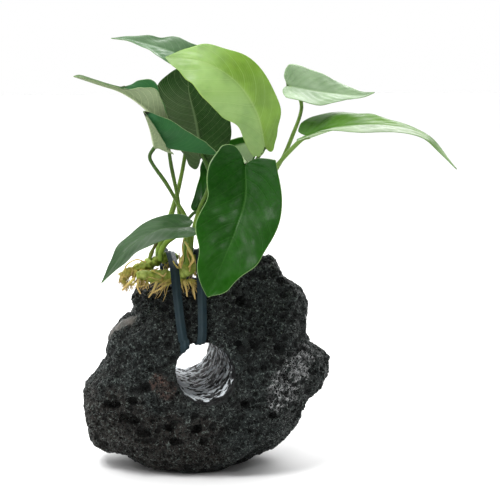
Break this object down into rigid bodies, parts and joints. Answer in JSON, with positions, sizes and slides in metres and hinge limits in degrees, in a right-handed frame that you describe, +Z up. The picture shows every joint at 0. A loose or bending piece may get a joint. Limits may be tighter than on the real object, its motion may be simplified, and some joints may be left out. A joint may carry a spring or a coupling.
{
  "type": "anubias plant tied on a lava stone",
  "caption": "Aquarium plant with broad pointed leaves on a creeping stem, tied with flat bands through the drilled hole of a porous lava stone.",
  "frame": {"origin": "in the middle of the stone's flat base, on the surface that it stands on", "axes": "+Z up; the drilled hole runs along Y and its front mouth, from which the bands rise, faces -Y; +X is to the right seen from the front"},
  "size_m": [0.1586, 0.089, 0.1929],
  "materials": {
    "lava": "matte, near-black, full of open pores",
    "leaf_green": "waxy dark green plant tissue",
    "leaf_lime": "satin young light green plant tissue",
    "leaf_olive": "satin olive green plant tissue",
    "leaf_grey": "waxy grey-green plant tissue",
    "leaf_under": "matte pale veined underside, plant tissue",
    "petiole": "satin olive green plant tissue",
    "rhizome": "satin yellow-green plant tissue",
    "root": "matte tan plant fibre",
    "vinyl": "matte dark vinyl with a raised rib"
  },
  "bodies": {
    "root": {"lava_stone": "lava", "rhizome_front": "rhizome", "rhizome_rear": "rhizome", "blade_front_large": "leaf_green", "petiole_front_large": "petiole", "blade_young_lime": "leaf_lime", "petiole_young_lime": "petiole", "blade_shaded_middle": "leaf_olive", "petiole_shaded_middle": "petiole", "blade_top_left": "leaf_grey", "petiole_top_left": "petiole", "blade_left_folded": "leaf_under", "petiole_left_folded": "petiole", "blade_left_inner": "leaf_under", "petiole_left_inner": "petiole", "blade_behind_front": "leaf_green", "petiole_behind_front": "petiole", "blade_lower_left": "leaf_grey", "petiole_lower_left": "petiole", "blade_upper_right": "leaf_grey", "petiole_upper_right": "petiole", "blade_arching_right": "leaf_green", "petiole_arching_right": "petiole", "cut_stalk": "petiole", "dead_sheath_long": "root", "dead_sheath_short": "root", "arching_root": "root", "root_1": "root", "root_2": "root", "root_3": "root", "root_4": "root", "root_5": "root", "root_6": "root", "tie_band_left": "vinyl", "tie_band_right": "vinyl"}
  },
  "joints": []
}
